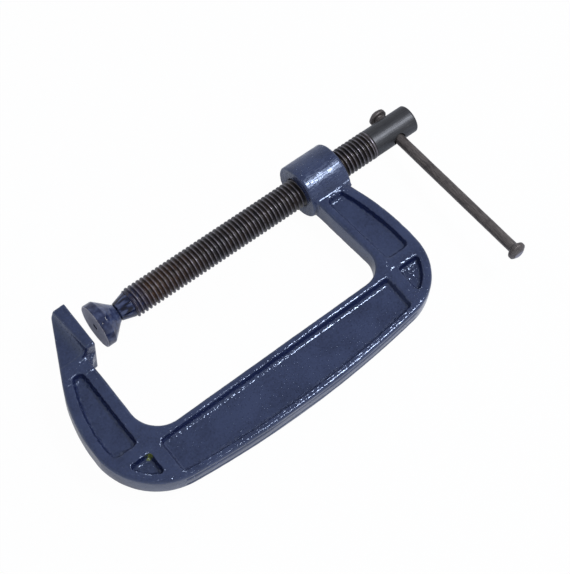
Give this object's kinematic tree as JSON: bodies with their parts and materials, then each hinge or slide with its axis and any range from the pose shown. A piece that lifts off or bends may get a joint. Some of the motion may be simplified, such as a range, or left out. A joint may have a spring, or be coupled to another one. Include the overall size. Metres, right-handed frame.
{
  "type": "g-clamp",
  "caption": "Cast iron G-clamp: a ribbed C-shaped frame with a fixed anvil, a screw spindle through a round boss, a swivel pad on its ball end and a sliding tommy bar through its head.",
  "frame": {"origin": "centre of the screw axis on the anvil's clamping face", "axes": "+X from the anvil along the screw to its head, -Y towards the spine of the casting, +Z through the thickness of the casting; the clamp lies on its side"},
  "size_m": [0.3027, 0.1433, 0.0418],
  "materials": {
    "casting_enamel": "glossy navy enamel over a rough iron casting",
    "screw_steel": "black oxide, oiled, with bare crests",
    "pad_enamel": "navy enamel, worn to bare steel on the face",
    "bar_steel": "dull mill-scaled steel, ends upset hot"
  },
  "bodies": {
    "frame": {"frame": "casting_enamel"},
    "pad": {"swivel_pad": "pad_enamel"},
    "spindle": {"spindle": "screw_steel"},
    "bar": {"tommy_bar": "bar_steel"}
  },
  "joints": [
    {"name": "screw_travel", "type": "slide", "parent": "frame", "child": "pad", "axis": [1, 0, 0], "range_m": [-0.0097, 0.1461]},
    {"name": "screw_turn", "type": "hinge", "parent": "pad", "child": "spindle", "pos_m": [0.0186, 0, 0], "axis": [1, 0, 0], "range_deg": [-1152, 17520]},
    {"name": "bar_slide", "type": "slide", "parent": "spindle", "child": "bar", "axis": [0, -0.9903, 0.1392], "range_m": [-0.109, 0.0019]}
  ],
  "couplings": [
    {"joint": "screw_travel", "follows": "screw_turn", "m_per_rad": 0.00047746}
  ]
}
